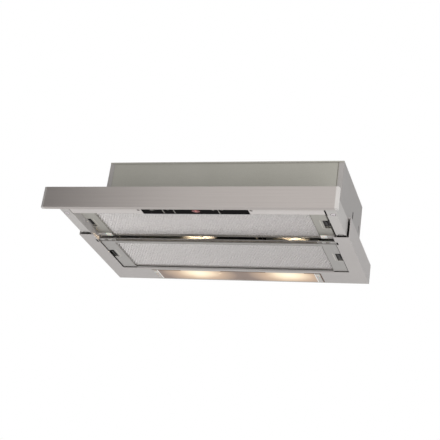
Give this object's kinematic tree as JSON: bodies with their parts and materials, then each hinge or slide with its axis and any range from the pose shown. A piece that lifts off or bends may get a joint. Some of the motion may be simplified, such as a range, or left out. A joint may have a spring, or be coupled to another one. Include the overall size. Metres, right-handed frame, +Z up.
{
  "type": "pull out range hood",
  "caption": "Slim range hood with a drawer that pulls out over the hob, mesh grease filters, a lit window, push keys, a blower and a round top outlet.",
  "frame": {"origin": "middle of the four hanging screw holes, on the top plate's upper face", "axes": "+X along the width to the right as seen from the front, +Y back to the wall, +Z up through the outlet"},
  "size_m": [0.598, 0.414, 0.224],
  "materials": {
    "stainless": "brushed along the width",
    "panel_caps": "satin silver plastic",
    "casing_paint": "smooth silver grey coating",
    "housing_paint": "smooth grey coating",
    "zinc": "zinc plated",
    "reflector": "white coating",
    "diffuser": "translucent, warm when lit",
    "clear_ends": "milky",
    "lamp_holder": "glossy",
    "bulb_glass": "frosted",
    "nylon": "natural nylon",
    "black_plastic": "fine grain",
    "black_gloss": "glossy",
    "board": "solder mask",
    "red_lens": "clear red",
    "filter_frame": "pressed sheet",
    "filter_mesh": "expanded layers"
  },
  "bodies": {
    "housing": {"casing_side_left": "casing_paint", "casing_side_right": "casing_paint", "housing_side_left": "housing_paint", "housing_side_right": "housing_paint", "housing_front": "housing_paint", "back_wall": "housing_paint", "top_plate": "housing_paint", "front_ledge": "casing_paint", "bottom_frame": "casing_paint", "lamp_cover": "diffuser", "lamp_ends": "clear_ends", "lamp_tray": "reflector", "lamp_sockets": "lamp_holder", "bulbs": "bulb_glass", "fixed_rail_left": "zinc", "fixed_rail_right": "zinc", "rail_pads": "nylon", "scroll_wall": "black_plastic", "scroll_cheek_left": "black_plastic", "scroll_cheek_right": "black_plastic", "motor_bracket": "zinc", "motor": "zinc", "outlet_collar": "black_plastic", "flap_axle": "zinc", "terminal_box": "nylon", "terminal_lid": "nylon", "capacitor": "nylon", "cable_gland": "black_plastic", "end_switch": "black_plastic"},
    "drawer": {"front_panel": "stainless", "panel_liner": "casing_paint", "panel_cap_left": "panel_caps", "panel_cap_right": "panel_caps", "control_strip": "casing_paint", "control_bezel": "black_gloss", "control_board": "board", "display_lens": "red_lens", "carriage_side_left": "casing_paint", "carriage_side_right": "casing_paint", "rear_bar": "casing_paint", "rail_gliders": "nylon", "strip_screws": "zinc", "front_filter_frame": "filter_frame", "front_filter_mesh": "filter_mesh", "front_filter_clips": "nylon"},
    "light_key": {"light_key": "black_gloss"},
    "off_key": {"off_key": "black_gloss"},
    "slow_key": {"slow_key": "black_gloss"},
    "fast_key": {"fast_key": "black_gloss"},
    "front_latch_left": {"front_latch_left": "black_plastic"},
    "front_latch_right": {"front_latch_right": "black_plastic"},
    "rear_filter": {"rear_filter_frame": "filter_frame", "rear_filter_mesh": "filter_mesh"},
    "rear_latch_left": {"rear_latch_left": "black_plastic"},
    "rear_latch_right": {"rear_latch_right": "black_plastic"},
    "impeller": {"impeller": "black_plastic", "motor_shaft": "zinc"},
    "flap_front": {"flap_front": "black_plastic"},
    "flap_rear": {"flap_rear": "black_plastic"}
  },
  "joints": [
    {"name": "drawer_slide", "type": "slide", "parent": "housing", "child": "drawer", "axis": [0, 1, 0], "range_m": [0, 0.114]},
    {"name": "light_key_press", "type": "slide", "parent": "drawer", "child": "light_key", "axis": [0, 0, 1], "range_m": [0, 0.0015], "stiffness_N_per_m": 900, "springref_m": -0.0006},
    {"name": "off_key_press", "type": "slide", "parent": "drawer", "child": "off_key", "axis": [0, 0, 1], "range_m": [0, 0.0015], "stiffness_N_per_m": 900, "springref_m": -0.0006},
    {"name": "slow_key_press", "type": "slide", "parent": "drawer", "child": "slow_key", "axis": [0, 0, 1], "range_m": [0, 0.0015], "stiffness_N_per_m": 900, "springref_m": -0.0006},
    {"name": "fast_key_press", "type": "slide", "parent": "drawer", "child": "fast_key", "axis": [0, 0, 1], "range_m": [0, 0.0015], "stiffness_N_per_m": 900, "springref_m": -0.0006},
    {"name": "front_latch_left_slide", "type": "slide", "parent": "drawer", "child": "front_latch_left", "axis": [1, 0, 0], "range_m": [0, 0.005], "stiffness_N_per_m": 600, "springref_m": -0.002},
    {"name": "front_latch_right_slide", "type": "slide", "parent": "drawer", "child": "front_latch_right", "axis": [-1, 0, 0], "range_m": [0, 0.005], "stiffness_N_per_m": 600, "springref_m": -0.002},
    {"name": "rear_filter_drop", "type": "slide", "parent": "housing", "child": "rear_filter", "axis": [0, 0, -1], "range_m": [0, 0.06]},
    {"name": "rear_latch_left_slide", "type": "slide", "parent": "rear_filter", "child": "rear_latch_left", "axis": [1, 0, 0], "range_m": [0, 0.005], "stiffness_N_per_m": 600, "springref_m": -0.002},
    {"name": "rear_latch_right_slide", "type": "slide", "parent": "rear_filter", "child": "rear_latch_right", "axis": [-1, 0, 0], "range_m": [0, 0.005], "stiffness_N_per_m": 600, "springref_m": -0.002},
    {"name": "impeller_spin", "type": "hinge", "parent": "housing", "child": "impeller", "pos_m": [0, 0.022, -0.076], "axis": [1, 0, 0], "continuous": true},
    {"name": "flap_front_swing", "type": "hinge", "parent": "housing", "child": "flap_front", "pos_m": [0, 0, 0.012], "axis": [-1, 0, 0], "range_deg": [0, 75]},
    {"name": "flap_rear_swing", "type": "hinge", "parent": "housing", "child": "flap_rear", "pos_m": [0, 0, 0.012], "axis": [1, 0, 0], "range_deg": [0, 75]}
  ]
}
